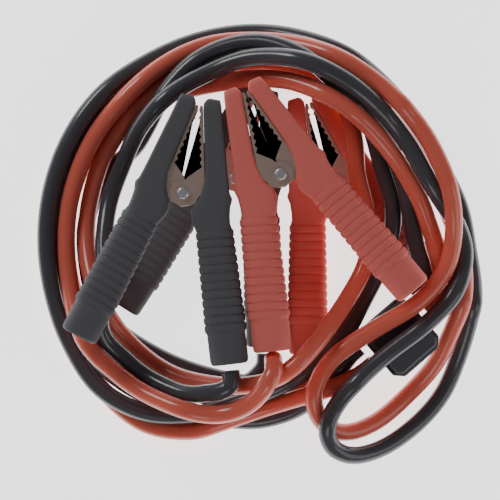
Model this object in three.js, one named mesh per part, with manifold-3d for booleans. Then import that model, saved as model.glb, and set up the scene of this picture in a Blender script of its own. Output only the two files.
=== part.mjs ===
// A car jumper cable set: a red and a black cable coiled together, four spring clamps and an inline housing.
// Millimetres, +Z up, the floor at z = 0. The whole set lies on the floor with the clamps on top of the coil.
import * as THREE from "three";
import { mergeVertices } from "three/addons/utils/BufferGeometryUtils.js";
import Module from "manifold-3d";

const wasm = await Module();
wasm.setup();

// Cable
const CABLE_OD = 12.2;
const CABLE_SIDES = 8;
const CABLE_STEP = 18;
const STRAND_GAP = 1.4;
const END_GAP = 5;
const END_LEAD = 7;

// How the strands are laid on each other
const LAY_STEP = 9;
const LAY_SLOPE = 0.6;
const LAY_SWEEPS = 60;
const SOFT_SWEEPS = 12;
const OWN_REACH = 40;
const OWN_END = 20;
const BOX_LAYER = 6.9;

// Clamp arm, seen from above: the pivot at the origin, the tips towards +Y
const JAW_LENGTH = 67;
const TIP_X = 7.6;
const TIP_WIDTH = 12.4;
const ROOT_X = 24.2;
const ROOT_WIDTH = 17;
const COLLAR_X = 25.5;
const COLLAR_Y = -21;
const COLLAR_WIDTH = 26;
const GRIP_X = 52.5;
const GRIP_Y = -108.5;
const GRIP_WIDTH = 29;
const END_COLLAR_WIDTH = 25;
const END_COLLAR_LENGTH = 22;
const ARM_THICKNESS = 24;
const JAW_COVER_THICKNESS = 21;
const SHOULDER_RADIUS = 12.5;
const SHOULDER_X = 22.5;
const SHOULDER_Y = -9;
const TIP_CHAMFER = 5;
const RIBS = 9;
const RIB_DEPTH = 1.1;
const GRIP_SIDES = 12;

// Pressed jaw plates and their pivot
const PLATE = 1.3;
const COVER_GAP = 0.35;
const OUTER_EAR = 8.6;
const EAR_GAP = 0.45;
const EAR_RADIUS = 9;
const TOOTH_PITCH = 5;
const TOOTH_DEPTH = 1.6;
const TOOTH_FIRST = 20;
const TOOTH_COUNT = 8;
const MOUTH_TIP_X = 0.5;
const TOOTH_BAND = 3;
const MOUTH_ROOT_X = 1.5;
const BOLT_RADIUS = 2.6;
const BOLT_CLEARANCE = 0.35;
const HEAD_RADIUS = 4.2;
const HEAD_HEIGHT = 2.4;
const NUT_RADIUS = 4.6;
const NUT_HEIGHT = 2.3;
const SPRING_OUTER = 6.6;
const SPRING_INNER = 3.6;
const SPRING_HEIGHT = 11;

// Inline housing
const BOX_LENGTH = 42;
const BOX_WIDTH = 45;
const BOX_HEIGHT = 20;
const BOX_CHAMFER = 6;
const BOX_SEAM = 0.35;
const BOX_FLANGE = 3;
const RED_LANE = 1.5;
const BLACK_LANE = -13.5;
const BOX_X = 106;
const BOX_Y = -69.5;
const BOX_Z = 36.5;
const BOX_TURN = 41;

// Clamp places: pivot on the floor plan, height of the clamp's middle plane, turn about Z, and the side of the
// arm that carries the cable
const REAR_Z = ARM_THICKNESS / 2;
const CLAMPS = [
  { name: "front_red", red: true, x: 22.2, y: 43, z: 76, turn: 23.2, fixed: -1 },
  { name: "front_black", red: false, x: -44.2, y: 30, z: 75, turn: -10.5, fixed: 1 },
  { name: "rear_red", red: true, x: 60.5, y: 37, z: REAR_Z, turn: 17, fixed: -1 },
  { name: "rear_black", red: false, x: -9.5, y: 42, z: REAR_Z, turn: -15.5, fixed: 1 },
];

const RED = new THREE.MeshStandardMaterial({ color: 0xe0302a, roughness: 0.5, metalness: 0 });
const BLACK = new THREE.MeshStandardMaterial({ color: 0x1c1d1f, roughness: 0.5, metalness: 0 });
const RED_CABLE = new THREE.MeshStandardMaterial({ color: 0xd42a1c, roughness: 0.25, metalness: 0 });
const BLACK_CABLE = new THREE.MeshStandardMaterial({ color: 0x141517, roughness: 0.25, metalness: 0 });
const COPPER = new THREE.MeshStandardMaterial({ color: 0xd9a58f, roughness: 0.3, metalness: 1 });
const ZINC = new THREE.MeshStandardMaterial({ color: 0xc4c8cc, roughness: 0.3, metalness: 1 });

const RAD = Math.PI / 180;

// A closed geometry as a solid, and back
function solid(geometry) {
  const g = geometry.clone();
  g.deleteAttribute("normal");
  g.deleteAttribute("uv");
  const merged = mergeVertices(g, 1e-4);
  return new wasm.Manifold(
    new wasm.Mesh({
      numProp: 3,
      vertProperties: new Float32Array(merged.attributes.position.array),
      triVerts: new Uint32Array(merged.index.array),
    }),
  );
}

function geometryOf(body) {
  const mesh = body.getMesh();
  const positions = new Float32Array(mesh.numVert * 3);
  for (let i = 0; i < mesh.numVert; i++) {
    positions.set(mesh.vertProperties.subarray(i * mesh.numProp, i * mesh.numProp + 3), i * 3);
  }
  const g = new THREE.BufferGeometry();
  g.setAttribute("position", new THREE.BufferAttribute(positions, 3));
  g.setIndex(new THREE.BufferAttribute(new Uint32Array(mesh.triVerts), 1));
  g.computeVertexNormals();
  return g;
}

function join(...geometries) {
  return geometryOf(geometries.map(solid).reduce((a, b) => a.add(b)));
}

function outline(points) {
  return new THREE.Shape(points.map(([x, y]) => new THREE.Vector2(x, y)));
}

// A flat outline extruded from z = low to z = high
function slab(shape, low, high) {
  const g = new THREE.ExtrudeGeometry(shape, { depth: high - low, bevelEnabled: false, curveSegments: 8 });
  g.translate(0, 0, low);
  return g;
}

// Half width of the jaw cover's inner edge at a distance y from the pivot
function coverInner(y) {
  const along = y / JAW_LENGTH;
  const middle = ROOT_X + (TIP_X - ROOT_X) * along;
  return middle - (ROOT_WIDTH + (TIP_WIDTH - ROOT_WIDTH) * along) / 2;
}

// The ribbed grip: a turned body along the handle's line, flattened to the arm's thickness
function grip() {
  const length = Math.hypot(GRIP_X - COLLAR_X, GRIP_Y - COLLAR_Y);
  const ribbed = length - END_COLLAR_LENGTH;
  const pitch = ribbed / RIBS;
  const profile = [[0, 0], [COLLAR_WIDTH / 2, 0]];
  for (let i = 0; i < RIBS; i++) {
    const radius = COLLAR_WIDTH / 2 + ((GRIP_WIDTH - COLLAR_WIDTH) / 2) * ((i + 1) / RIBS);
    profile.push([radius, (i + 0.55) * pitch]);
    profile.push([radius - RIB_DEPTH, (i + 0.95) * pitch]);
  }
  profile.push([END_COLLAR_WIDTH / 2 + 0.8, ribbed + 2]);
  profile.push([END_COLLAR_WIDTH / 2, length - 1.5]);
  profile.push([END_COLLAR_WIDTH / 2 - 1.5, length]);
  profile.push([0, length]);
  const points = profile.map(([radius, y]) => new THREE.Vector2(radius, y));
  const g = new THREE.LatheGeometry(points, GRIP_SIDES);
  g.rotateY(RAD * (180 / GRIP_SIDES));
  g.scale(1, 1, ARM_THICKNESS / GRIP_WIDTH);
  // The grip runs from the collar down to its end
  g.rotateZ(Math.PI + Math.atan2(GRIP_X - COLLAR_X, COLLAR_Y - GRIP_Y));
  g.translate(COLLAR_X, COLLAR_Y, 0);
  return g;
}

// The insulating cover of the right arm: jaw cover, shoulder and grip in one moulding
function coverGeometry() {
  const tipOut = TIP_X + TIP_WIDTH / 2;
  const rootOut = ROOT_X + ROOT_WIDTH / 2;
  const half = JAW_COVER_THICKNESS / 2;
  const jaw = outline([
    [coverInner(JAW_LENGTH), JAW_LENGTH],
    [coverInner(-4), -4],
    [COLLAR_X - COLLAR_WIDTH / 2 + 2, COLLAR_Y - 3],
    [COLLAR_X + COLLAR_WIDTH / 2, COLLAR_Y - 3],
    [COLLAR_X + COLLAR_WIDTH / 2, COLLAR_Y],
    [rootOut, 0],
    [tipOut, JAW_LENGTH - TIP_CHAMFER],
    [tipOut - TIP_CHAMFER, JAW_LENGTH],
  ]);
  const shoulder = new THREE.Shape();
  shoulder.absarc(SHOULDER_X, SHOULDER_Y, SHOULDER_RADIUS, 0, 2 * Math.PI, false);
  return join(slab(jaw, -half, half), slab(shoulder, -half, half), grip());
}

// The pressed plate of the right arm: two toothed flanges with ears, joined by a web along the cover
function plateGeometry(ear) {
  const inner = (y) => coverInner(y) - COVER_GAP;
  const top = JAW_LENGTH - 6;
  const mouth = (y) => Math.max(MOUTH_TIP_X, inner(y) - TOOTH_BAND);
  const points = [[inner(top), top], [mouth(top - 1) + 0.4, top]];
  for (let i = TOOTH_COUNT - 1; i >= 0; i--) {
    const y = TOOTH_FIRST + i * TOOTH_PITCH;
    points.push([Math.min(mouth(y + TOOTH_PITCH / 2), inner(y) - 1), y + TOOTH_PITCH / 2]);
    points.push([Math.min(mouth(y) + TOOTH_DEPTH, inner(y) - 0.6), y]);
  }
  const flange = outline([
    ...points,
    [MOUTH_ROOT_X, EAR_RADIUS * 1.3],
    [0, EAR_RADIUS],
    [-EAR_RADIUS * 0.71, EAR_RADIUS * 0.71],
    [-EAR_RADIUS, 0],
    [-EAR_RADIUS * 0.71, -EAR_RADIUS * 0.71],
    [0, -EAR_RADIUS],
    [EAR_RADIUS * 0.6, -EAR_RADIUS * 0.8],
    [SHOULDER_X - SHOULDER_RADIUS - COVER_GAP, SHOULDER_Y + 4],
    [SHOULDER_X - SHOULDER_RADIUS + 0.6, SHOULDER_Y + 8],
    [inner(4), 4],
  ]);
  const hole = new THREE.Path();
  hole.absarc(0, 0, BOLT_RADIUS + BOLT_CLEARANCE, 0, 2 * Math.PI, true);
  flange.holes.push(hole);
  const web = outline([[inner(top), top], [inner(top) - PLATE, top], [inner(8) - PLATE, 8], [inner(8), 8]]);
  return join(slab(flange, ear - PLATE, ear), slab(flange, -ear, PLATE - ear), slab(web, -ear, ear));
}

function turned(profile, sides) {
  const points = profile.map(([radius, z]) => new THREE.Vector2(radius, z));
  const g = new THREE.LatheGeometry(points, sides);
  g.rotateX(Math.PI / 2);
  return g;
}

function boltGeometry() {
  const head = OUTER_EAR + BOLT_CLEARANCE;
  return turned([
    [0, -head - NUT_HEIGHT],
    [BOLT_RADIUS, -head - NUT_HEIGHT],
    [BOLT_RADIUS, head],
    [HEAD_RADIUS, head],
    [HEAD_RADIUS, head + HEAD_HEIGHT * 0.6],
    [HEAD_RADIUS * 0.75, head + HEAD_HEIGHT],
    [0, head + HEAD_HEIGHT],
  ], 12);
}

function nutGeometry() {
  const face = -OUTER_EAR - BOLT_CLEARANCE;
  const bore = (BOLT_RADIUS + BOLT_CLEARANCE) / Math.cos(Math.PI / 6);
  return turned([
    [bore, face - NUT_HEIGHT],
    [NUT_RADIUS, face - NUT_HEIGHT],
    [NUT_RADIUS, face],
    [bore, face],
    [bore, face - NUT_HEIGHT],
  ], 6);
}

function springGeometry() {
  const half = SPRING_HEIGHT / 2;
  return turned([
    [SPRING_INNER, -half],
    [SPRING_OUTER, -half],
    [SPRING_OUTER, half],
    [SPRING_INNER, half],
    [SPRING_INNER, -half],
  ], 12);
}

// A geometry and its mirror image in the clamp's middle plane x = 0, with the faces kept outward
function mirrored(geometry) {
  const g = geometry.index ? geometry.toNonIndexed() : geometry.clone();
  g.scale(-1, 1, 1);
  const p = g.attributes.position;
  for (let i = 0; i < p.count; i += 3) {
    const b = [p.getX(i + 1), p.getY(i + 1), p.getZ(i + 1)];
    p.setXYZ(i + 1, p.getX(i + 2), p.getY(i + 2), p.getZ(i + 2));
    p.setXYZ(i + 2, ...b);
  }
  g.computeVertexNormals();
  return g;
}

function piece(name, geometry, material) {
  const mesh = new THREE.Mesh(geometry, material);
  mesh.name = name;
  return mesh;
}

// One clamp as a placed group. The outer ears belong to the arm that carries the cable.
function clampGroup(place) {
  const cover = coverGeometry();
  const outer = plateGeometry(OUTER_EAR);
  const inner = plateGeometry(OUTER_EAR - PLATE - EAR_GAP);
  const side = (g, sign) => (sign > 0 ? g : mirrored(g));
  const paint = place.red ? RED : BLACK;
  const g = new THREE.Group();
  g.add(
    piece(`${place.name}_cable_grip`, side(cover, place.fixed), paint),
    piece(`${place.name}_free_grip`, side(cover, -place.fixed), paint),
    piece(`${place.name}_cable_jaw`, side(outer, place.fixed), COPPER),
    piece(`${place.name}_free_jaw`, side(inner, -place.fixed), COPPER),
    piece(`${place.name}_bolt`, boltGeometry(), ZINC),
    piece(`${place.name}_nut`, nutGeometry(), ZINC),
    piece(`${place.name}_spring`, springGeometry(), ZINC),
  );
  g.rotation.z = RAD * place.turn;
  g.position.set(place.x, place.y, place.z);
  return g;
}

// Where a clamp's cable leaves its grip, and a point further out on the grip's line
function gripExit(name) {
  const clamp = CLAMPS.find((one) => one.name === name);
  const length = Math.hypot(GRIP_X - COLLAR_X, GRIP_Y - COLLAR_Y);
  return [END_GAP, END_GAP + END_LEAD].map((out) => {
    const past = 1 + out / length;
    const x = COLLAR_X + (GRIP_X - COLLAR_X) * past;
    const y = COLLAR_Y + (GRIP_Y - COLLAR_Y) * past;
    const turned = new THREE.Vector2(clamp.fixed * x, y).rotateAround(new THREE.Vector2(), RAD * clamp.turn);
    return new THREE.Vector3(clamp.x + turned.x, clamp.y + turned.y, clamp.z);
  });
}

// The housing's port on one side for one lane, and a point further out on its line
function boxPort(side, lane) {
  return [END_GAP, END_GAP + END_LEAD].map((out) => {
    const local = new THREE.Vector2(side * (BOX_LENGTH / 2 + out), -lane);
    const turned = local.rotateAround(new THREE.Vector2(), RAD * BOX_TURN);
    return new THREE.Vector3(BOX_X + turned.x, BOX_Y + turned.y, BOX_Z);
  });
}

// Half of the housing, split at mid height, with half of each cable lane cut in its ends
function boxHalf(up) {
  const l = BOX_LENGTH / 2;
  const w = BOX_WIDTH / 2;
  const c = BOX_CHAMFER;
  const body = outline([
    [l - c, -w], [l, c - w], [l, w - c], [l - c, w], [c - l, w], [-l, w - c], [-l, c - w], [c - l, -w],
  ]);
  const f = BOX_FLANGE;
  const lid = outline([
    [l - c, f - w], [l - f, c - w], [l - f, w - c], [l - c, w - f],
    [c - l, w - f], [f - l, w - c], [f - l, c - w], [c - l, f - w],
  ]);
  const g = join(
    slab(body, BOX_SEAM / 2, BOX_HEIGHT / 2 - f),
    slab(lid, BOX_SEAM / 2, BOX_HEIGHT / 2),
  );
  if (!up) {
    g.rotateX(Math.PI);
  }
  return g;
}

const ring = (bearing, radius, layer) => [radius * Math.cos(RAD * bearing), radius * Math.sin(RAD * bearing), layer];
const at = (x, y, layer) => [x, y, layer];

// Routes seen from above, chosen by hand: places on the plan and the layer that each lies in.
// ring(bearing in degrees, radius, layer) is about the coil's middle, at(x, y, layer) anywhere.
const RED_FRONT = [
  at(6, -109, 9), at(-12, -119.5, 9), ring(253.5, 125, 8), ring(237, 128.5, 7),
  ring(224, 131, 6.4), ring(212, 133.5, 6), ring(198, 129.5, 6), ring(180, 127.4, 6), ring(164, 127.5, 6), ring(147, 128.5, 6),
  ring(129.5, 130.5, 6), ring(114, 135, 5.6), ring(101, 138, 5), ring(88, 138, 5), ring(75, 138.5, 5.4),
  ring(62, 139, 5.8), ring(47, 139, 7), ring(33, 140.5, 8), ring(21, 141.5, 8), ring(10, 142.5, 8),
  ring(-1, 141.5, 8), ring(-10, 137.5, 8), ring(-21, 125.5, 8), ring(-37, 107, 8),
  at(59, -83, 8), at(46.5, -104, 8), at(47.5, -121, 8), at(57, -133, 7.5), at(72, -136, 7), at(92, -128.5, 6),
  at(112, -112, 5), at(131.5, -89.5, 4.5), at(143, -64, 4.2), at(150, -42, 4), at(151, -20, 3.4),
  ring(2, 146, 3), ring(14, 138, 3), ring(28, 132, 3), ring(45, 130, 3), ring(60, 130.5, 3), ring(75, 131, 3),
  ring(90, 130.5, 3), ring(105, 127, 3.4), ring(120, 122, 4.2), ring(135, 118.5, 4.6), ring(150, 116.5, 4.8),
  ring(165, 114.5, 4.8), ring(180, 113.5, 4.8), ring(195, 112.5, 4.8), ring(210, 111.5, 4.8), ring(225, 110.5, 4.8),
  ring(240, 109, 4.8), ring(254, 105, 4.8), ring(268, 101.5, 4.8), ring(283, 97, 4.8), ring(299, 88, 5), ring(315, 82, 5),
  ring(331, 81, 5), ring(346, 83.5, 5), ring(1, 86, 5), ring(16, 85, 4), ring(31, 89, 3.2), ring(45, 104, 1.2),
  ring(60, 122, 1.2), ring(75, 126, 1.2), ring(90, 124.5, 1.2), ring(105, 124, 1.2), ring(120, 124, 1.2),
  ring(135, 132.5, 1.2), ring(150, 140.5, 1.2), ring(165, 142.7, 1.2), ring(180, 142.7, 1.2), ring(195, 142.7, 1.2),
  ring(210, 144, 1.2), ring(225, 148.5, 1.4), ring(240, 151, 2), ring(253, 143, 3), ring(264, 129, 3.2),
  ring(276, 120, 3.2), ring(290, 117.5, 3.2), at(63, -102.5, 3.2),
];
const RED_REAR = [
  at(136.5, -34.5, 6), at(135, -20, 6), at(131, -6, 6.2), ring(4, 126, 6.2), ring(14, 121, 6.2),
  ring(28, 115.5, 6.2), ring(44, 112.5, 6.4), ring(60, 111.5, 6.4), ring(75, 112, 6.4), ring(90, 111, 6.2),
  ring(102, 110.5, 5.5), ring(113, 113, 3.4), ring(125, 118, 2), ring(140, 124, 2), ring(155, 128, 2),
  ring(170, 129, 2), ring(185, 129.1, 2), ring(200, 129.1, 2), ring(215, 127, 2), ring(230, 121, 2), ring(243, 117, 2),
  ring(255, 116, 2),
  at(-4, -115.5, 2), at(12, -114.5, 2), at(30, -108, 2),
];
const BLACK_FRONT = [
  at(-15, -103.5, 5.3), at(-29, -106.5, 5.3), at(-45, -107, 5.3), ring(234.5, 119, 5.3), ring(224, 120, 5.3), ring(214, 121, 5.3),
  ring(204, 112, 5.2), ring(194, 103, 5.2), ring(180, 100.5, 5), ring(165, 100.5, 5), ring(150, 101.5, 6), ring(135, 107, 7),
  ring(120, 112, 7.4), ring(105, 117, 7.4), ring(90, 124, 7.4), ring(75, 126.5, 7.4), ring(60, 126.5, 7.4),
  ring(45, 126.5, 7.4), ring(31, 127.5, 7.2), ring(20, 129.5, 7), ring(11, 136, 7), ring(3, 146, 7),
  ring(-5, 151, 7), ring(-15, 148, 7.2), ring(-26.5, 136, 7.4), at(96.5, -80, 9), at(78.5, -96, 9),
  at(63, -113, 9), at(55, -130, 9), at(58.5, -145, 8), at(73.5, -152, 7), at(96, -147, 6), at(120, -131, 5),
  at(138, -110, 4.5), at(148.5, -85, 4.2), at(155, -61, 4), at(158.5, -38, 2.6), ring(-4, 156.5, 2.4),
  ring(8, 152, 2.4), ring(20, 146, 2.4), ring(33, 144, 2.4), ring(47, 143.5, 2.4), ring(61, 144.5, 2.4),
  ring(76, 144.7, 2.4), ring(90, 144.7, 2.4), ring(105, 143.5, 2.4), ring(120, 142.5, 3), ring(135, 143.5, 3.6),
  ring(150, 143, 4.2), ring(165, 142, 4.2), ring(180, 141.5, 4.2), ring(195, 142, 4.2), ring(210, 145, 4.2),
  ring(225, 148.5, 4.4), ring(239, 143, 4.6), ring(252, 130.5, 4.6), ring(263, 119, 4.6), ring(276, 109, 4.6),
  ring(290, 103, 4.6), ring(304, 98.5, 4.6), ring(317, 94.5, 4.6), ring(331, 92, 4.6), ring(345, 94, 4.6),
  ring(0, 100, 4.6), ring(14, 104, 3), ring(28, 106, 1.6), ring(44, 117, 1.6), ring(60, 132, 1.6),
  ring(75, 138, 1.6), ring(90, 138, 1.6), ring(105, 138, 1.6), ring(120, 138, 1.6), ring(135, 139, 2.6),
  ring(150, 136.5, 3), ring(165, 136, 3), ring(180, 136, 3), ring(195, 136, 3), ring(210, 136.5, 2.6),
  ring(225, 136, 2.3), ring(240, 132.5, 2.2), ring(255, 130, 1.6), ring(268, 129.5, 1.6), at(14, -128, 1.6),
  at(33, -121.5, 1.8), at(48, -110.5, 2.2), at(60, -97, 2.6),
];
const BLACK_REAR = [
  at(122, -22, 5.6), at(117.5, -6, 5.4), ring(8, 114.5, 5),
  ring(20, 116, 4), ring(33, 116.5, 3.8), ring(47, 118, 5), ring(60, 122.5, 6.2), ring(72, 130, 6.5),
  ring(84, 135.5, 6.8), ring(95, 134.5, 6.8), ring(107, 128, 6.5), ring(119, 117, 6.2), ring(130, 106.5, 5),
  ring(141, 102, 3), ring(153, 108, 2.4), ring(166, 113, 2.2), ring(180, 115.5, 2.2), ring(200, 115.5, 2.2),
  ring(214, 113, 2.2), ring(230, 106, 2.2), ring(246, 102, 2.2), ring(262, 101.5, 2.2), at(1, -101.5, 2.2),
];
const CABLES = [
  { name: "red_cable_front", route: RED_FRONT, from: gripExit("front_red"), to: boxPort(-1, RED_LANE) },
  { name: "red_cable_rear", route: RED_REAR, from: boxPort(1, RED_LANE), to: gripExit("rear_red") },
  { name: "black_cable_front", route: BLACK_FRONT, from: gripExit("front_black"), to: boxPort(-1, BLACK_LANE) },
  { name: "black_cable_rear", route: BLACK_REAR, from: boxPort(1, BLACK_LANE), to: gripExit("rear_black") },
];

// A smooth plan line through a route, cut into even steps
function planLine(cable) {
  const first = cable.route[0][2];
  const last = cable.route[cable.route.length - 1][2];
  const rows = [
    ...cable.from.map((point) => [point.x, point.y, first]),
    ...cable.route,
    ...[...cable.to].reverse().map((point) => [point.x, point.y, last]),
  ];
  const curve = new THREE.CatmullRomCurve3(rows.map((row) => new THREE.Vector3(...row)), false, "catmullrom", 0.5);
  const fine = curve.getPoints(rows.length * 12);
  const run = [0];
  for (let i = 1; i < fine.length; i++) {
    run.push(run[i - 1] + Math.hypot(fine[i].x - fine[i - 1].x, fine[i].y - fine[i - 1].y));
  }
  const total = run[run.length - 1];
  const count = Math.round(total / LAY_STEP);
  const line = [];
  let k = 0;
  for (let i = 0; i <= count; i++) {
    const s = (total * i) / count;
    while (k < run.length - 2 && run[k + 1] < s) {
      k += 1;
    }
    const t = (s - run[k]) / (run[k + 1] - run[k]);
    line.push(fine[k].clone().lerp(fine[k + 1], t));
  }
  return line;
}

// Height that a cable's middle needs over a block of the given top, at a distance past its edge
function over(top, past) {
  const r = CABLE_OD / 2;
  return past >= r ? r : top + STRAND_GAP + Math.sqrt(r * r - Math.max(0, past) ** 2);
}

// The lowest a cable's point may lie for what is on the floor or in the housing's place
function floorHeight(point, cable) {
  for (const [exit] of [cable.from, cable.to]) {
    if (Math.hypot(point.x - exit.x, point.y - exit.y) < OWN_END) {
      return exit.z;
    }
  }
  let z = CABLE_OD / 2;
  const here = new THREE.Vector2(point.x, point.y);
  for (const clamp of CLAMPS.filter((one) => one.z === REAR_Z)) {
    for (const sign of [-1, 1]) {
      const turn = RAD * clamp.turn;
      const local = here.clone().sub(new THREE.Vector2(clamp.x, clamp.y)).rotateAround(new THREE.Vector2(), -turn);
      const spine = [[TIP_X, JAW_LENGTH - 14], [ROOT_X, 0], [COLLAR_X, COLLAR_Y], [GRIP_X, GRIP_Y]];
      for (let i = 0; i < spine.length - 1; i++) {
        const a = new THREE.Vector2(sign * spine[i][0], spine[i][1]);
        const b = new THREE.Vector2(sign * spine[i + 1][0], spine[i + 1][1]);
        const ab = b.clone().sub(a);
        const along = local.clone().sub(a).dot(ab) / ab.lengthSq();
        // The grip ends in a flat face
        if (i === spine.length - 2 && (along - 1) * ab.length() > CABLE_OD / 2 + STRAND_GAP) {
          continue;
        }
        const t = THREE.MathUtils.clamp(along, 0, 1);
        const past = local.distanceTo(a.addScaledVector(ab, t)) - (i < 1 ? TIP_WIDTH / 2 + 8 : GRIP_WIDTH / 2);
        z = Math.max(z, over(ARM_THICKNESS, past));
      }
    }
  }
  const local = here.sub(new THREE.Vector2(BOX_X, BOX_Y)).rotateAround(new THREE.Vector2(), -RAD * BOX_TURN);
  const past = Math.max(Math.abs(local.x) - BOX_LENGTH / 2, Math.abs(local.y) - BOX_WIDTH / 2);
  return point.z > BOX_LAYER ? Math.max(z, over(BOX_Z + BOX_HEIGHT / 2, past)) : z;
}

// Lays every strand on what is under it, as the layers say, with humps no steeper than the slope
function layCables() {
  const lines = CABLES.map(planLine);
  const points = lines.flatMap((line, cable) => line.map((p, i) => ({ p, cable, i, z: floorHeight(p, CABLES[cable]) })));
  const pairs = [];
  const need = CABLE_OD + STRAND_GAP;
  for (const a of points) {
    for (const b of points) {
      const flat = Math.hypot(a.p.x - b.p.x, a.p.y - b.p.y);
      const apart = a.cable !== b.cable || Math.abs(a.i - b.i) * LAY_STEP > OWN_REACH;
      if (apart && flat < need && a.p.z > b.p.z) {
        pairs.push([a, b, Math.sqrt(need * need - flat * flat)]);
      }
    }
  }
  pairs.sort((one, two) => one[0].p.z - two[0].p.z);
  const rows = CABLES.map((cable, k) => points.filter((point) => point.cable === k));
  for (let sweep = 0; sweep < LAY_SWEEPS; sweep++) {
    for (const [upper, lower, rise] of pairs) {
      upper.z = Math.max(upper.z, lower.z + rise);
    }
    rows.forEach((row, k) => {
      const last = row.length - 1;
      const [fromZ, toZ] = [CABLES[k].from[0].z, CABLES[k].to[0].z];
      [row[0].z, row[1].z] = [fromZ, Math.max(row[1].z, fromZ)];
      [row[last].z, row[last - 1].z] = [toZ, Math.max(row[last - 1].z, toZ)];
      for (let i = 1; i <= last; i++) {
        row[i].z = Math.max(row[i].z, row[i - 1].z - LAY_SLOPE * LAY_STEP);
      }
      for (let i = last - 1; i >= 0; i--) {
        row[i].z = Math.max(row[i].z, row[i + 1].z - LAY_SLOPE * LAY_STEP);
      }
      if (sweep < SOFT_SWEEPS) {
        const before = row.map((point) => point.z);
        for (let i = 1; i < last; i++) {
          row[i].z = Math.max(before[i], (before[i - 1] + 2 * before[i] + before[i + 1]) / 4);
        }
      }
    });
  }
  return rows.map((row, k) => {
    const line = row.map((point) => new THREE.Vector3(point.p.x, point.p.y, point.z));
    line[0].copy(CABLES[k].from[0]);
    line[line.length - 1].copy(CABLES[k].to[0]);
    return line;
  });
}

// A cable stretch: a round section swept along its laid line
function cableGeometry(line) {
  const curve = new THREE.CatmullRomCurve3(line, false, "catmullrom", 0.5);
  const section = new THREE.Shape();
  for (let i = 0; i < CABLE_SIDES; i++) {
    const a = (2 * Math.PI * (i + 0.5)) / CABLE_SIDES;
    const method = i ? "lineTo" : "moveTo";
    section[method]((CABLE_OD / 2) * Math.cos(a), (CABLE_OD / 2) * Math.sin(a));
  }
  section.closePath();
  const steps = Math.round(curve.getLength() / CABLE_STEP);
  return new THREE.ExtrudeGeometry(section, { steps, bevelEnabled: false, extrudePath: curve });
}

const set = new THREE.Group();
set.add(...CLAMPS.map(clampGroup));

const housing = new THREE.Group();
housing.add(piece("housing_lid", boxHalf(true), BLACK), piece("housing_base", boxHalf(false), BLACK));
housing.rotation.z = RAD * BOX_TURN;
housing.position.set(BOX_X, BOX_Y, BOX_Z);
set.add(housing);

// The origin is on the floor, under the middle of the box around the clamps and the housing
set.updateMatrixWorld(true);
const hard = new THREE.Box3().setFromObject(set, true);
layCables().forEach((line, k) => {
  const paint = CABLES[k].name.startsWith("red") ? RED_CABLE : BLACK_CABLE;
  set.add(piece(CABLES[k].name, cableGeometry(line), paint));
});
set.position.set(-(hard.min.x + hard.max.x) / 2, -(hard.min.y + hard.max.y) / 2, -hard.min.z);

export default set;
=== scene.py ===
"""The looks of a car jumper cable set: coiled cables, four spring clamps and an inline housing."""

import logging
import math
from dataclasses import dataclass
from enum import Enum

import bmesh
import bpy
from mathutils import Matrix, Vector


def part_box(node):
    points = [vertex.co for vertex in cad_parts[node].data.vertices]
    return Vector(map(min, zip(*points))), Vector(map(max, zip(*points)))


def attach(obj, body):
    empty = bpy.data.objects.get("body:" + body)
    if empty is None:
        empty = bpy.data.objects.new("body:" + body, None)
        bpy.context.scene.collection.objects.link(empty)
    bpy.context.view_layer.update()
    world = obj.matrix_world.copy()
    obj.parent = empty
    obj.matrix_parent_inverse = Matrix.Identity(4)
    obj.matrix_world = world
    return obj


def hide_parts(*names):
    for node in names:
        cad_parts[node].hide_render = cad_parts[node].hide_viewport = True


LOG = logging.getLogger("jumper_cable")
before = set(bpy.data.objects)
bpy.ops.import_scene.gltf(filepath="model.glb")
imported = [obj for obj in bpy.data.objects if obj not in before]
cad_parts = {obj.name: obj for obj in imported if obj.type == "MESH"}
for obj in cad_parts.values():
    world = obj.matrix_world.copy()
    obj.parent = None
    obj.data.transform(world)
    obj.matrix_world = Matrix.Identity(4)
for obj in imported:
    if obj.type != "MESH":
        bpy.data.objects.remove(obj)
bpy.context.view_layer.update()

MM = 0.001
CABLE_OD = 12.2
STRAND_GAP = 1.4
END_GAP = 5
END_LEAD = 7
LAY_STEP = 9
LAY_SLOPE = 0.6
LAY_SWEEPS = 60
SOFT_SWEEPS = 12
OWN_REACH = 40
OWN_END = 20
BOX_LAYER = 6.9
BOX = (106, -69.5, 36.5)
BOX_SIZE = (42, 45, 20)
BOX_TURN = 41
JAW_LENGTH, TIP_X, TIP_WIDTH = 67, 7.6, 12.4
ROOT_X, ROOT_WIDTH = 24.2, 17
COLLAR_X, COLLAR_Y, COLLAR_WIDTH = 25.5, -21, 26
GRIP_X, GRIP_Y, GRIP_WIDTH = 52.5, -108.5, 29
END_WIDTH, END_LENGTH = 25, 22
THICKNESS = 24
# How far the jaw cover's spine stops before the tip, and the room kept beside the covers
SPINE_END = 14
JAW_ROOM = 8
# Height of the pivot bolt's top face over the clamp's middle plane
BOLT_SEAT = 8.95
BOLT_HEAD = 2.4
# Where the two cables pass beside the housing's middle line
RED_LANE = 1.5
BLACK_LANE = -13.5
# How much thicker the visible cable is than its CAD tube
LOOK_EXTRA = 0.3
FINE_STEPS = 12
COVER_THICK = 21
GRIP_THICK = 23.2
LOBE = 11.0
VIEW_MIDDLE = (1.4, -8.4, 0)
VIEW_HEIGHT = 1.8
VIEW_WIDTH = 0.350
VIEW_DISTANCE = 1.77
SENSOR = 36


@dataclass(frozen=True)
class Place:
    """Where one clamp lies, in millimetres and degrees."""

    name: str
    red: bool
    x: float
    y: float
    z: float
    turn: float
    fixed: int


PLACES = [
    Place("front_red", True, 22.2, 43, 76, 23.2, -1),
    Place("front_black", False, -44.2, 30, 75, -10.5, 1),
    Place("rear_red", True, 60.5, 37, 12.0, 17, -1),
    Place("rear_black", False, -9.5, 42, 12.0, -15.5, 1),
]


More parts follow.
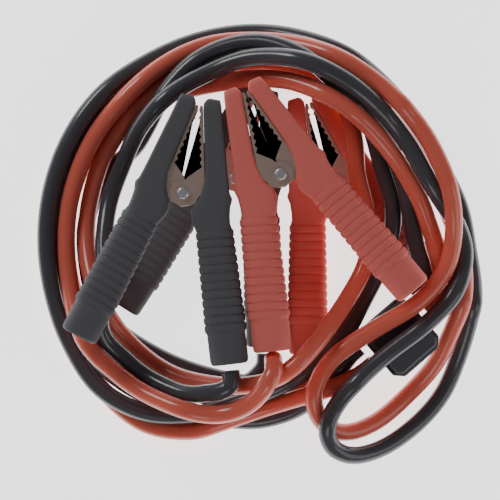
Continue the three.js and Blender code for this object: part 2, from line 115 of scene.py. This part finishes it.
def ring(bearing: float, radius: float, layer: float) -> tuple:
    """A route point about the coil's middle.

    Args:
        bearing: degrees from +X.
        radius: millimetres.
        layer: how high it lies among its neighbours.

    Returns:
        x, y and the layer.
    """
    a = math.radians(bearing)
    return (radius * math.cos(a), radius * math.sin(a), layer)


def spot(x: float, y: float, layer: float) -> tuple:
    """A route point given straight.

    Args:
        x: millimetres.
        y: millimetres.
        layer: how high it lies among its neighbours.

    Returns:
        x, y and the layer.
    """
    return (x, y, layer)


RED_FRONT = [
    spot(6, -109, 9), spot(-12, -119.5, 9), ring(253.5, 125, 8), ring(237, 128.5, 7),
    ring(224, 131, 6.4), ring(212, 133.5, 6), ring(198, 129.5, 6), ring(180, 127.4, 6),
    ring(164, 127.5, 6), ring(147, 128.5, 6), ring(129.5, 130.5, 6), ring(114, 135, 5.6),
    ring(101, 138, 5), ring(88, 138, 5), ring(75, 138.5, 5.4), ring(62, 139, 5.8),
    ring(47, 139, 7), ring(33, 140.5, 8), ring(21, 141.5, 8), ring(10, 142.5, 8),
    ring(-1, 141.5, 8), ring(-10, 137.5, 8), ring(-21, 125.5, 8), ring(-37, 107, 8),
    spot(59, -83, 8), spot(46.5, -104, 8), spot(47.5, -121, 8), spot(57, -133, 7.5),
    spot(72, -136, 7), spot(92, -128.5, 6), spot(112, -112, 5), spot(131.5, -89.5, 4.5),
    spot(143, -64, 4.2), spot(150, -42, 4), spot(151, -20, 3.4), ring(2, 146, 3),
    ring(14, 138, 3), ring(28, 132, 3), ring(45, 130, 3), ring(60, 130.5, 3), ring(75, 131, 3),
    ring(90, 130.5, 3), ring(105, 127, 3.4), ring(120, 122, 4.2), ring(135, 118.5, 4.6),
    ring(150, 116.5, 4.8), ring(165, 114.5, 4.8), ring(180, 113.5, 4.8), ring(195, 112.5, 4.8),
    ring(210, 111.5, 4.8), ring(225, 110.5, 4.8), ring(240, 109, 4.8), ring(254, 105, 4.8),
    ring(268, 101.5, 4.8), ring(283, 97, 4.8), ring(299, 88, 5), ring(315, 82, 5),
    ring(331, 81, 5), ring(346, 83.5, 5), ring(1, 86, 5), ring(16, 85, 4), ring(31, 89, 3.2),
    ring(45, 104, 1.2), ring(60, 122, 1.2), ring(75, 126, 1.2), ring(90, 124.5, 1.2),
    ring(105, 124, 1.2), ring(120, 124, 1.2), ring(135, 132.5, 1.2), ring(150, 140.5, 1.2),
    ring(165, 142.7, 1.2), ring(180, 142.7, 1.2), ring(195, 142.7, 1.2), ring(210, 144, 1.2),
    ring(225, 148.5, 1.4), ring(240, 151, 2), ring(253, 143, 3), ring(264, 129, 3.2),
    ring(276, 120, 3.2), ring(290, 117.5, 3.2), spot(63, -102.5, 3.2),
]
RED_REAR = [
    spot(136.5, -34.5, 6), spot(135, -20, 6), spot(131, -6, 6.2), ring(4, 126, 6.2),
    ring(14, 121, 6.2), ring(28, 115.5, 6.2), ring(44, 112.5, 6.4), ring(60, 111.5, 6.4),
    ring(75, 112, 6.4), ring(90, 111, 6.2), ring(102, 110.5, 5.5), ring(113, 113, 3.4),
    ring(125, 118, 2), ring(140, 124, 2), ring(155, 128, 2), ring(170, 129, 2),
    ring(185, 129.1, 2), ring(200, 129.1, 2), ring(215, 127, 2), ring(230, 121, 2),
    ring(243, 117, 2), ring(255, 116, 2), spot(-4, -115.5, 2), spot(12, -114.5, 2),
    spot(30, -108, 2),
]
BLACK_FRONT = [
    spot(-15, -103.5, 5.3), spot(-29, -106.5, 5.3), spot(-45, -107, 5.3), ring(234.5, 119, 5.3),
    ring(224, 120, 5.3), ring(214, 121, 5.3), ring(204, 112, 5.2), ring(194, 103, 5.2),
    ring(180, 100.5, 5), ring(165, 100.5, 5), ring(150, 101.5, 6), ring(135, 107, 7),
    ring(120, 112, 7.4), ring(105, 117, 7.4), ring(90, 124, 7.4), ring(75, 126.5, 7.4),
    ring(60, 126.5, 7.4), ring(45, 126.5, 7.4), ring(31, 127.5, 7.2), ring(20, 129.5, 7),
    ring(11, 136, 7), ring(3, 146, 7), ring(-5, 151, 7), ring(-15, 148, 7.2),
    ring(-26.5, 136, 7.4), spot(96.5, -80, 9), spot(78.5, -96, 9), spot(63, -113, 9),
    spot(55, -130, 9), spot(58.5, -145, 8), spot(73.5, -152, 7), spot(96, -147, 6),
    spot(120, -131, 5), spot(138, -110, 4.5), spot(148.5, -85, 4.2), spot(155, -61, 4),
    spot(158.5, -38, 2.6), ring(-4, 156.5, 2.4), ring(8, 152, 2.4), ring(20, 146, 2.4),
    ring(33, 144, 2.4), ring(47, 143.5, 2.4), ring(61, 144.5, 2.4), ring(76, 144.7, 2.4),
    ring(90, 144.7, 2.4), ring(105, 143.5, 2.4), ring(120, 142.5, 3), ring(135, 143.5, 3.6),
    ring(150, 143, 4.2), ring(165, 142, 4.2), ring(180, 141.5, 4.2), ring(195, 142, 4.2),
    ring(210, 145, 4.2), ring(225, 148.5, 4.4), ring(239, 143, 4.6), ring(252, 130.5, 4.6),
    ring(263, 119, 4.6), ring(276, 109, 4.6), ring(290, 103, 4.6), ring(304, 98.5, 4.6),
    ring(317, 94.5, 4.6), ring(331, 92, 4.6), ring(345, 94, 4.6), ring(0, 100, 4.6),
    ring(14, 104, 3), ring(28, 106, 1.6), ring(44, 117, 1.6), ring(60, 132, 1.6),
    ring(75, 138, 1.6), ring(90, 138, 1.6), ring(105, 138, 1.6), ring(120, 138, 1.6),
    ring(135, 139, 2.6), ring(150, 136.5, 3), ring(165, 136, 3), ring(180, 136, 3),
    ring(195, 136, 3), ring(210, 136.5, 2.6), ring(225, 136, 2.3), ring(240, 132.5, 2.2),
    ring(255, 130, 1.6), ring(268, 129.5, 1.6), spot(14, -128, 1.6), spot(33, -121.5, 1.8),
    spot(48, -110.5, 2.2), spot(60, -97, 2.6),
]
BLACK_REAR = [
    spot(122, -22, 5.6), spot(117.5, -6, 5.4), ring(8, 114.5, 5), ring(20, 116, 4),
    ring(33, 116.5, 3.8), ring(47, 118, 5), ring(60, 122.5, 6.2), ring(72, 130, 6.5),
    ring(84, 135.5, 6.8), ring(95, 134.5, 6.8), ring(107, 128, 6.5), ring(119, 117, 6.2),
    ring(130, 106.5, 5), ring(141, 102, 3), ring(153, 108, 2.4), ring(166, 113, 2.2),
    ring(180, 115.5, 2.2), ring(200, 115.5, 2.2), ring(214, 113, 2.2), ring(230, 106, 2.2),
    ring(246, 102, 2.2), ring(262, 101.5, 2.2), spot(1, -101.5, 2.2),
]


class Finish(Enum):
    """The record's material slots."""

    RED = "red_vinyl"
    BLACK = "black_vinyl"
    RED_CABLE = "red_cable_vinyl"
    BLACK_CABLE = "black_cable_vinyl"
    COPPER = "coppered_steel"
    ZINC = "zinc_steel"


@dataclass(frozen=True)
class Look:
    """Numbers of one finish."""

    colour: tuple
    rough: float
    metal: float
    grain: float
    bump: float
    coat: float


LOOKS = {
    Finish.RED: Look((0.80, 0.016, 0.012), 0.45, 0.0, 900.0, 0.00012, 0.0),
    Finish.BLACK: Look((0.0085, 0.009, 0.011), 0.5, 0.0, 900.0, 0.00012, 0.0),
    Finish.RED_CABLE: Look((0.70, 0.010, 0.004), 0.24, 0.0, 260.0, 0.00008, 0.1),
    Finish.BLACK_CABLE: Look((0.0015, 0.0016, 0.0018), 0.22, 0.0, 260.0, 0.00008, 0.0),
    Finish.COPPER: Look((0.90, 0.52, 0.38), 0.40, 1.0, 420.0, 0.00005, 0.0),
    Finish.ZINC: Look((0.74, 0.76, 0.78), 0.24, 1.0, 420.0, 0.00004, 0.0),
}


class Value:
    """A node socket that can be added, multiplied and subtracted."""

    def __init__(self, graph: "Graph", socket: bpy.types.NodeSocket) -> None:
        """Wrap a socket.

        Args:
            graph: the graph it belongs to.
            socket: the output socket.
        """
        self.graph = graph
        self.socket = socket

    def _math(self, kind: str, a: object, b: object) -> "Value":
        """Join two values with a Math node.

        Args:
            kind: the operation.
            a: first value.
            b: second value.

        Returns:
            The result.
        """
        return self.graph.node("ShaderNodeMath", {"operation": kind}, {0: a, 1: b})

    def __add__(self, other: object) -> "Value":
        """Args: other: what is added. Returns: the sum."""
        return self._math("ADD", self, other)

    __radd__ = __add__

    def __mul__(self, other: object) -> "Value":
        """Args: other: the factor. Returns: the product."""
        return self._math("MULTIPLY", self, other)

    __rmul__ = __mul__

    def __sub__(self, other: object) -> "Value":
        """Args: other: what is taken away. Returns: the difference."""
        return self._math("SUBTRACT", self, other)

    def __rsub__(self, other: object) -> "Value":
        """Args: other: what this is taken from. Returns: the difference."""
        return self._math("SUBTRACT", other, self)


class Graph:
    """A material's node tree."""

    def __init__(self, name: str) -> None:
        """Make an empty material.

        Args:
            name: the material's name.
        """
        self.material = bpy.data.materials.new(name)
        self.material.use_nodes = True
        self.tree = self.material.node_tree
        self.shader = self.tree.nodes["Principled BSDF"]

    def node(self, kind: str, settings: dict, inputs: dict, out: int = 0) -> Value:
        """Add a node.

        Args:
            kind: the node's type.
            settings: properties to set.
            inputs: values or Value objects by input name or number.
            out: which output to return.

        Returns:
            The chosen output.
        """
        made = self.tree.nodes.new(kind)
        for key, value in settings.items():
            setattr(made, key, value)
        for key, value in inputs.items():
            self.put(made.inputs[key], value)
        return Value(self, made.outputs[out])

    def put(self, socket: bpy.types.NodeSocket, value: object) -> None:
        """Set or link an input.

        Args:
            socket: the input.
            value: a number, a tuple or a Value.
        """
        if isinstance(value, Value):
            self.tree.links.new(value.socket, socket)
        else:
            socket.default_value = value

    def mix(self, factor: Value, a: tuple, b: tuple) -> Value:
        """Mix two colours.

        Args:
            factor: from 0 to 1.
            a: first colour.
            b: second colour.

        Returns:
            The mixed colour.
        """
        made = self.tree.nodes.new("ShaderNodeMix")
        made.data_type = "RGBA"
        self.put(made.inputs[0], factor)
        made.inputs[6].default_value = (*a, 1)
        made.inputs[7].default_value = (*b, 1)
        return Value(self, made.outputs[2])


def material(finish: Finish) -> bpy.types.Material:
    """The material of a finish, made once.

    Args:
        finish: which one.

    Returns:
        The material.
    """
    name = finish.value
    if name in bpy.data.materials:
        return bpy.data.materials[name]
    look = LOOKS[finish]
    graph = Graph(name)
    place = graph.node("ShaderNodeTexCoord", {}, {}, 3)
    noise = "ShaderNodeTexNoise"
    fine = graph.node(noise, {}, {"Vector": place, "Scale": look.grain, "Detail": 3.0})
    wide = graph.node(noise, {}, {"Vector": place, "Scale": 22.0, "Detail": 2.0})
    dark = tuple(c * 0.84 for c in look.colour)
    graph.put(graph.shader.inputs["Base Color"], graph.mix(wide, dark, look.colour))
    graph.put(graph.shader.inputs["Roughness"], look.rough + (wide - 0.5) * 0.16)
    graph.put(graph.shader.inputs["Metallic"], look.metal)
    graph.put(graph.shader.inputs["Coat Weight"], look.coat)
    relief = {"Strength": 0.5, "Distance": look.bump, "Height": fine}
    bump = graph.node("ShaderNodeBump", {}, relief)
    graph.put(graph.shader.inputs["Normal"], bump)
    return graph.material


def shift() -> Vector:
    """The step from the coil's own plan to the row frame, in metres.

    Returns:
        The vector, from where the front red bolt lies in the CAD.
    """
    low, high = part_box("front_red_bolt")
    place = PLACES[0]
    middle = (low + high) / 2
    z = (high.z / MM) - (BOLT_SEAT + BOLT_HEAD) - place.z
    return Vector((middle.x - place.x * MM, middle.y - place.y * MM, z * MM))


class Cables:
    """The four cable stretches, laid on each other by their layers."""

    def __init__(self) -> None:
        """Work out the ends and the lines."""
        by = {p.name: p for p in PLACES}
        self.rows = [
            ("red_cable_front", RED_FRONT, self.grip(by["front_red"]), self.port(-1, RED_LANE)),
            ("red_cable_rear", RED_REAR, self.port(1, RED_LANE), self.grip(by["rear_red"])),
            ("black_cable_front", BLACK_FRONT, self.grip(by["front_black"]), self.port(-1, BLACK_LANE)),
            ("black_cable_rear", BLACK_REAR, self.port(1, BLACK_LANE), self.grip(by["rear_black"])),
        ]

    @staticmethod
    def grip(place: Place) -> list:
        """Where a cable leaves a grip, and a point further out.

        Args:
            place: the clamp.

        Returns:
            Two points.
        """
        length = math.hypot(GRIP_X - COLLAR_X, GRIP_Y - COLLAR_Y)
        c, s = math.cos(math.radians(place.turn)), math.sin(math.radians(place.turn))
        out = []
        for extra in (END_GAP, END_GAP + END_LEAD):
            past = 1 + extra / length
            x = place.fixed * (COLLAR_X + (GRIP_X - COLLAR_X) * past)
            y = COLLAR_Y + (GRIP_Y - COLLAR_Y) * past
            out.append((place.x + x * c - y * s, place.y + x * s + y * c, place.z))
        return out

    @staticmethod
    def port(side: int, lane: float) -> list:
        """A housing port, and a point further out.

        Args:
            side: which end of the housing.
            lane: how far beside its middle line.

        Returns:
            Two points.
        """
        c, s = math.cos(math.radians(BOX_TURN)), math.sin(math.radians(BOX_TURN))
        out = []
        for extra in (END_GAP, END_GAP + END_LEAD):
            x, y = side * (BOX_SIZE[0] / 2 + extra), -lane
            out.append((BOX[0] + x * c - y * s, BOX[1] + x * s + y * c, BOX[2]))
        return out

    @staticmethod
    def spline(rows: list, count: int) -> list:
        """A uniform Catmull-Rom line through points.

        Args:
            rows: the points.
            count: how many steps.

        Returns:
            Points along the line.
        """
        last = len(rows) - 1
        points = [Vector(r) for r in rows]
        out = []
        for n in range(count + 1):
            at = last * n / count
            k = min(int(at), last - 1)
            t = at - k
            p1, p2 = points[k], points[k + 1]
            p0 = points[k - 1] if k > 0 else 2 * p1 - p2
            p3 = points[k + 2] if k + 2 <= last else 2 * p2 - p1
            v0, v1 = (p2 - p0) * 0.5, (p3 - p1) * 0.5
            out.append(
                (2 * p1 - 2 * p2 + v0 + v1) * t**3
                + (-3 * p1 + 3 * p2 - 2 * v0 - v1) * t**2
                + v0 * t
                + p1
            )
        return out

    def plan(self, row: tuple) -> list:
        """A cable's plan line in even steps, with the layer as its height.

        Args:
            row: name, route and the two ends.

        Returns:
            The points.
        """
        _, route, start, end = row
        first, last = route[0][2], route[-1][2]
        rows = [(p[0], p[1], first) for p in start] + list(route)
        rows += [(p[0], p[1], last) for p in reversed(end)]
        fine = self.spline(rows, len(rows) * FINE_STEPS)
        run = [0.0]
        for a, b in zip(fine, fine[1:]):
            run.append(run[-1] + math.hypot(b.x - a.x, b.y - a.y))
        count = round(run[-1] / LAY_STEP)
        line, k = [], 0
        for i in range(count + 1):
            s = run[-1] * i / count
            while k < len(run) - 2 and run[k + 1] < s:
                k += 1
            line.append(fine[k].lerp(fine[k + 1], (s - run[k]) / (run[k + 1] - run[k])))
        return line

    @staticmethod
    def over(top: float, past: float) -> float:
        """The height a cable needs over a block.

        Args:
            top: the block's height.
            past: how far beyond its edge.

        Returns:
            The height of the cable's middle.
        """
        r = CABLE_OD / 2
        return r if past >= r else top + STRAND_GAP + math.sqrt(r * r - max(0, past) ** 2)

    def floor(self, point: Vector, row: tuple) -> float:
        """The lowest a point may lie.

        Args:
            point: place on the plan, with the layer.
            row: the cable.

        Returns:
            The height.
        """
        for exit_point, _ in (row[2], row[3]):
            if math.hypot(point.x - exit_point[0], point.y - exit_point[1]) < OWN_END:
                return exit_point[2]
        z = CABLE_OD / 2
        spine = [(TIP_X, JAW_LENGTH - SPINE_END), (ROOT_X, 0), (COLLAR_X, COLLAR_Y), (GRIP_X, GRIP_Y)]
        for place in PLACES[2:]:
            c, s = math.cos(math.radians(place.turn)), math.sin(math.radians(place.turn))
            dx, dy = point.x - place.x, point.y - place.y
            here = Vector((dx * c + dy * s, dy * c - dx * s))
            for sign in (-1, 1):
                for i in range(3):
                    a = Vector((sign * spine[i][0], spine[i][1]))
                    ab = Vector((sign * spine[i + 1][0], spine[i + 1][1])) - a
                    along = (here - a).dot(ab) / ab.length_squared
                    if i == 2 and (along - 1) * ab.length > CABLE_OD / 2 + STRAND_GAP:
                        continue
                    t = min(1, max(0, along))
                    wide = TIP_WIDTH / 2 + JAW_ROOM if i < 1 else GRIP_WIDTH / 2
                    z = max(z, self.over(THICKNESS, (here - a - ab * t).length - wide))
        c, s = math.cos(math.radians(BOX_TURN)), math.sin(math.radians(BOX_TURN))
        dx, dy = point.x - BOX[0], point.y - BOX[1]
        past = max(abs(dx * c + dy * s) - BOX_SIZE[0] / 2, abs(dy * c - dx * s) - BOX_SIZE[1] / 2)
        return max(z, self.over(BOX[2] + BOX_SIZE[2] / 2, past)) if point.z > BOX_LAYER else z

    def laid(self) -> dict:
        """Lay every cable on what is under it.

        Returns:
            Lines by cable name, in millimetres.
        """
        plans = [self.plan(row) for row in self.rows]
        heights = [[self.floor(p, self.rows[k]) for p in line] for k, line in enumerate(plans)]
        flat = [(k, i, p) for k, line in enumerate(plans) for i, p in enumerate(line)]
        need = CABLE_OD + STRAND_GAP
        pairs = []
        for ka, ia, a in flat:
            for kb, ib, b in flat:
                if a.z <= b.z or abs(a.x - b.x) >= need or abs(a.y - b.y) >= need:
                    continue
                if ka == kb and abs(ia - ib) * LAY_STEP <= OWN_REACH:
                    continue
                d = math.hypot(a.x - b.x, a.y - b.y)
                if d < need:
                    pairs.append((a.z, ka, ia, kb, ib, math.sqrt(need * need - d * d)))
        pairs.sort(key=lambda one: one[0])
        drop = LAY_SLOPE * LAY_STEP
        for sweep in range(LAY_SWEEPS):
            for _, ka, ia, kb, ib, rise in pairs:
                heights[ka][ia] = max(heights[ka][ia], heights[kb][ib] + rise)
            for k, row in enumerate(heights):
                last = len(row) - 1
                start, end = self.rows[k][2][0][2], self.rows[k][3][0][2]
                row[0], row[1] = start, max(row[1], start)
                row[last], row[last - 1] = end, max(row[last - 1], end)
                for i in range(1, last + 1):
                    row[i] = max(row[i], row[i - 1] - drop)
                for i in range(last - 1, -1, -1):
                    row[i] = max(row[i], row[i + 1] - drop)
                if sweep < SOFT_SWEEPS:
                    old = list(row)
                    for i in range(1, last):
                        row[i] = max(old[i], (old[i - 1] + 2 * old[i] + old[i + 1]) / 4)
        out = {}
        for k, line in enumerate(plans):
            points = [Vector((p.x, p.y, heights[k][i])) for i, p in enumerate(line)]
            points[0], points[-1] = Vector(self.rows[k][2][0]), Vector(self.rows[k][3][0])
            out[self.rows[k][0]] = points
        return out

    def build(self, step: Vector) -> None:
        """Args:
            step: from the plan to the row frame.
        """
        for name, points in self.laid().items():
            line = self.spline(points, len(points) * 2)
            curve = bpy.data.curves.new(name + "_look", "CURVE")
            curve.dimensions = "3D"
            curve.bevel_depth = (CABLE_OD + LOOK_EXTRA) / 2 * MM
            curve.bevel_resolution = 5
            curve.use_fill_caps = True
            strand = curve.splines.new("POLY")
            strand.points.add(len(line) - 1)
            for point, where in zip(strand.points, line):
                point.co = (*(where * MM + step), 1)
            strand.use_smooth = True
            obj = bpy.data.objects.new(name + "_look", curve)
            bpy.context.collection.objects.link(obj)
            finish = Finish.RED_CABLE if name.startswith("red") else Finish.BLACK_CABLE
            curve.materials.append(material(finish))
            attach(obj, "set")
            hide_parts(name)
            length = sum((b - a).length for a, b in zip(line, line[1:])) * MM
            LOG.info("%s is %.3f m long", name, length)
            tuple(line[0] * MM + step)


class Maker:
    """Makes the solid pieces."""

    @staticmethod
    def finish(
        name: str, mesh: bmesh.types.BMesh, finish: Finish, body: str, *nodes: str
    ) -> bpy.types.Object:
        """Turn a bmesh into a placed object.

        Args:
            name: the object's name.
            mesh: its geometry in metres, in the row frame.
            finish: its material.
            body: the body it rides on.
            nodes: CAD nodes it stands for.

        Returns:
            The object.
        """
        bmesh.ops.recalc_face_normals(mesh, faces=mesh.faces)
        data = bpy.data.meshes.new(name)
        mesh.to_mesh(data)
        mesh.free()
        data.shade_smooth()
        obj = bpy.data.objects.new(name, data)
        bpy.context.collection.objects.link(obj)
        data.materials.append(material(finish))
        bevel = obj.modifiers.new("edges", "BEVEL")
        bevel.width = 0.7 * MM
        bevel.segments = 3
        bevel.limit_method = "ANGLE"
        bevel.angle_limit = math.radians(38)
        bevel.harden_normals = True
        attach(obj, body)
        if nodes:
            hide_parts(*nodes)
        return obj

    @staticmethod
    def loft(mesh: bmesh.types.BMesh, rings: list) -> None:
        """Join rings of points into a closed skin.

        Args:
            mesh: where to add it.
            rings: equal lists of points.
        """
        rows = [[mesh.verts.new(p) for p in one] for one in rings]
        count = len(rows[0])
        for a, b in zip(rows, rows[1:]):
            for i in range(count):
                mesh.faces.new((a[i], a[(i + 1) % count], b[(i + 1) % count], b[i]))
        mesh.faces.new(rows[0])
        mesh.faces.new(list(reversed(rows[-1])))


class Grip:
    """The insulating cover of one clamp arm."""

    RIBS = 12
    SIDES = 40

    def __init__(self, place: Place, side: int, step: Vector) -> None:
        """Set up.

        Args:
            place: the clamp.
            side: -1 or 1.
            step: from the plan to the row frame.
        """
        self.place, self.side, self.step = place, side, step
        self.c = math.cos(math.radians(place.turn))
        self.s = math.sin(math.radians(place.turn))

    def world(self, x: float, y: float, z: float) -> Vector:
        """A point of the right arm as it lies.

        Args:
            x: across the clamp.
            y: towards the tips.
            z: out of its middle plane.

        Returns:
            The point in the row frame, in metres.
        """
        x *= self.side
        p = self.place
        at = Vector((p.x + x * self.c - y * self.s, p.y + x * self.s + y * self.c, p.z + z))
        return at * MM + self.step

    def section(self, x: float, y: float, angle: float, width: float, thick: float, power: float) -> list:
        """A rounded section across the arm.

        Args:
            x: its middle.
            y: its middle.
            angle: the arm's lean there, in radians.
            width: across.
            thick: out of plane.
            power: 2 for an ellipse, more for a box.

        Returns:
            The ring of points.
        """
        out = []
        for i in range(self.SIDES):
            a = 2 * math.pi * i / self.SIDES
            u, v = math.cos(a), math.sin(a)
            u = math.copysign(abs(u) ** (2 / power), u) * width / 2
            v = math.copysign(abs(v) ** (2 / power), v) * thick / 2
            out.append(self.world(x + u * math.cos(angle), y + u * math.sin(angle), v))
        return out

    def build(self) -> None:
        """Make the handle and the jaw cover as one piece."""
        length = math.hypot(GRIP_X - COLLAR_X, GRIP_Y - COLLAR_Y)
        dx, dy = (GRIP_X - COLLAR_X) / length, (GRIP_Y - COLLAR_Y) / length
        lean = math.atan2(dx, -dy)
        rows = []
        # Places along the jaw cover and how much wider it is there than its straight taper
        cover = ((66.8, -4.5), (65.4, -2.4), (62.6, -0.4), (58, 0), (40, 0), (22, 0), (12, 0.6), (6, 2.6))
        for y, extra in cover:
            t = y / JAW_LENGTH
            mid = ROOT_X + (TIP_X - ROOT_X) * t
            wide = ROOT_WIDTH + (TIP_WIDTH - ROOT_WIDTH) * t
            rows.append(self.section(mid - extra * 0.4, y, 0, wide + extra, COVER_THICK + min(0, extra), 7))
        # Places along the shoulder, its width and its middle there
        shoulder = (
            (1, 19.5 + LOBE * 0.3, 22.4),
            (-5, 19 + LOBE * 0.6, 20.6),
            (-11, 19 + LOBE * 0.7, 20.9),
            (-16, 26, 22.4),
        )
        for y, wide, mid in shoulder:
            rows.append(self.section(mid, y, lean * 0.4, wide, 21.6, 5))
        ribbed = length - END_LENGTH
        pitch = ribbed / self.RIBS
        for n in range(self.RIBS):
            grow = (n + 1) / self.RIBS
            wide = COLLAR_WIDTH + (GRIP_WIDTH - COLLAR_WIDTH) * grow
            thick = GRIP_THICK + 0.6 * grow
            for part, cut in ((0.03, 1.7), (0.12, 0.35), (0.45, 0), (0.8, 0.35), (0.93, 1.7)):
                run = (n + part) * pitch
                rows.append(
                    self.section(COLLAR_X + dx * run, COLLAR_Y + dy * run, lean, wide - cut, thick - cut, 2.8)
                )
        for run, cut in ((ribbed + 1, 0.2), (ribbed + 3, 0), (length - 3, 0.2), (length - 1, 1.2), (length, 3.5)):
            rows.append(
                self.section(
                    COLLAR_X + dx * run, COLLAR_Y + dy * run, lean, END_WIDTH + 1.4 - cut, 22.6 - cut, 2.5
                )
            )
        mesh = bmesh.new()
        Maker.loft(mesh, rows)
        held = self.side == self.place.fixed
        node = f"{self.place.name}_{'cable' if held else 'free'}_grip"
        body = "set" if held else f"{self.place.name}_free_arm"
        Maker.finish(node + "_look", mesh, Finish.RED if self.place.red else Finish.BLACK, body, node)


def dress_cad(step: Vector) -> None:
    """Give the remaining CAD nodes their finishes as copies with soft edges.

    Args:
        step: from the plan to the row frame.
    """
    for place in PLACES:
        arm = f"{place.name}_free_arm"
        for part, finish, body in (
            ("cable_jaw", Finish.COPPER, "set"),
            ("free_jaw", Finish.COPPER, arm),
            ("bolt", Finish.ZINC, "set"),
            ("nut", Finish.ZINC, "set"),
            ("spring", Finish.ZINC, "set"),
        ):
            copy_node(f"{place.name}_{part}", finish, body, 0.25)
    copy_node("housing_lid", Finish.BLACK, "set", 1.2)
    copy_node("housing_base", Finish.BLACK, "set", 1.2)


def copy_node(node: str, finish: Finish, body: str, edge: float) -> None:
    """A finished copy of a CAD node with rounded edges.

    Args:
        node: the CAD node.
        finish: its material.
        body: the body it rides on.
        edge: width of the rounding, in millimetres.
    """
    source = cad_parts[node]
    data = source.data.copy()
    data.materials.clear()
    data.materials.append(material(finish))
    mesh = bmesh.new()
    mesh.from_mesh(data)
    bmesh.ops.remove_doubles(mesh, verts=mesh.verts, dist=1e-6)
    bmesh.ops.dissolve_limit(mesh, angle_limit=math.radians(2), verts=mesh.verts, edges=mesh.edges)
    mesh.to_mesh(data)
    mesh.free()
    obj = bpy.data.objects.new(node + "_look", data)
    bpy.context.collection.objects.link(obj)
    obj.matrix_world = source.matrix_world.copy()
    bevel = obj.modifiers.new("edges", "BEVEL")
    bevel.width = edge * MM
    bevel.segments = 3
    bevel.limit_method = "ANGLE"
    bevel.angle_limit = math.radians(30)
    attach(obj, body)
    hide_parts(node)


def studio() -> None:
    """The camera straight above, the soft lights and the pale floor."""
    camera = bpy.data.cameras.new("camera")
    seen = bpy.data.objects.new("camera", camera)
    bpy.context.collection.objects.link(seen)
    middle = Vector(VIEW_MIDDLE) * MM + shift()
    seen.location = (middle.x, middle.y, VIEW_HEIGHT)
    camera.sensor_width = SENSOR
    camera.lens = SENSOR * VIEW_DISTANCE / VIEW_WIDTH
    bpy.context.scene.camera = seen
    for name, where, size, power in (
        ("key", (-0.9, 0.9, 0.75), 0.5, 7),
        ("fill", (1.1, -0.5, 0.7), 0.8, 3),
        ("near", (0.0, -1.0, 0.9), 0.6, 2.5),
    ):
        lamp = bpy.data.lights.new(name, "AREA")
        lamp.size = size
        lamp.energy = power
        obj = bpy.data.objects.new(name, lamp)
        obj.location = where
        obj.rotation_euler = (-Vector(where)).to_track_quat("-Z", "Y").to_euler()
        bpy.context.collection.objects.link(obj)
    world = bpy.data.worlds.new("world")
    bpy.context.scene.world = world
    world.use_nodes = True
    world.node_tree.nodes["Background"].inputs[0].default_value = (1, 1, 1, 1)
    world.node_tree.nodes["Background"].inputs[1].default_value = 0.1
    bpy.ops.mesh.primitive_plane_add(size=6, location=(0, 0, -0.0005))
    ground = bpy.context.object
    ground.name = "floor"
    graph = Graph("floor")
    graph.put(graph.shader.inputs["Base Color"], (0.93, 0.93, 0.93, 1))
    graph.put(graph.shader.inputs["Roughness"], 0.9)
    graph.put(graph.shader.inputs["Emission Color"], (1, 1, 1, 1))
    graph.put(graph.shader.inputs["Emission Strength"], 2.0)
    ground.data.materials.append(graph.material)


def main() -> None:
    """Build the scene."""
    logging.basicConfig(level=logging.INFO)
    studio()
    step = shift()
    Cables().build(step)
    for place in PLACES:
        for side in (-1, 1):
            Grip(place, side, step).build()
    dress_cad(step)


if __name__ == "__main__":
    main()
